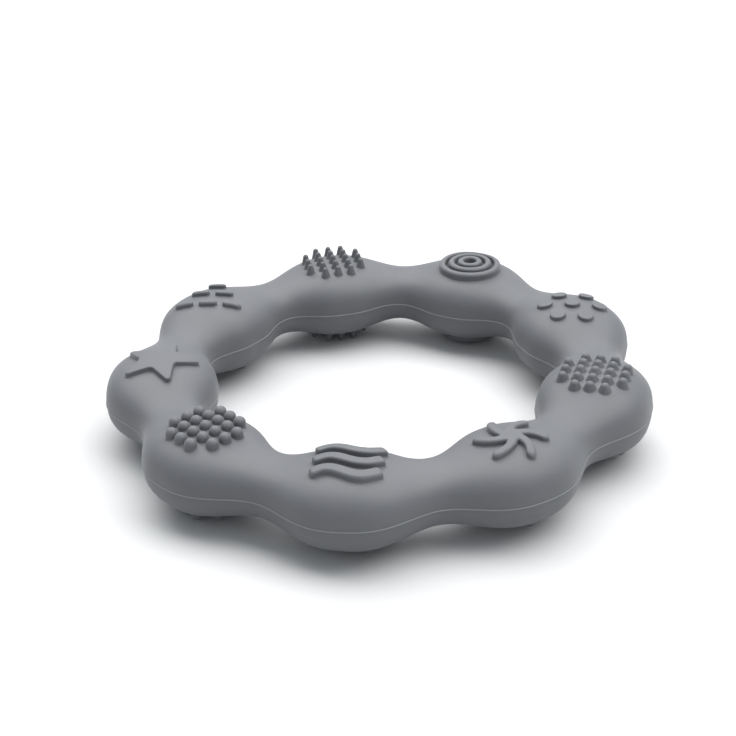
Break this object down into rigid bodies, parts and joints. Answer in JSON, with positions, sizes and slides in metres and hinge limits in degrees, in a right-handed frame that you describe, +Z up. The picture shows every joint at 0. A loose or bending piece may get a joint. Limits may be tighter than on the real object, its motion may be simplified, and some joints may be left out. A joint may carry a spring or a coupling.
{
  "type": "teething ring",
  "caption": "Soft silicone teething ring: a hollow tube of rounded lobes and narrower waists, bonded along a fine raised seam, with a different raised chewing relief on every lobe.",
  "frame": {"origin": "centre of the ring on the plane that it rests on, at the tips of the lower pins", "axes": "+Z up, along the axis of the ring; -Y from the centre to the lobe with the waves; +X to the right seen from the waves"},
  "size_m": [0.1074, 0.1061, 0.0183],
  "materials": {
    "silicone": "matte",
    "seam_bead": "matte"
  },
  "bodies": {
    "root": {"upper_shell": "silicone", "lower_shell": "silicone", "outer_seam_bead": "seam_bead", "inner_seam_bead": "seam_bead", "upper_star": "silicone", "upper_bumps": "silicone", "upper_waves": "silicone", "upper_pinwheel": "silicone", "upper_cones": "silicone", "upper_dots": "silicone", "upper_ribs": "silicone", "upper_pins": "silicone", "upper_dashes": "silicone", "lower_star": "silicone", "lower_bumps": "silicone", "lower_waves": "silicone", "lower_pinwheel": "silicone", "lower_cones": "silicone", "lower_dots": "silicone", "lower_ribs": "silicone", "lower_pins": "silicone", "lower_dashes": "silicone"}
  },
  "joints": []
}
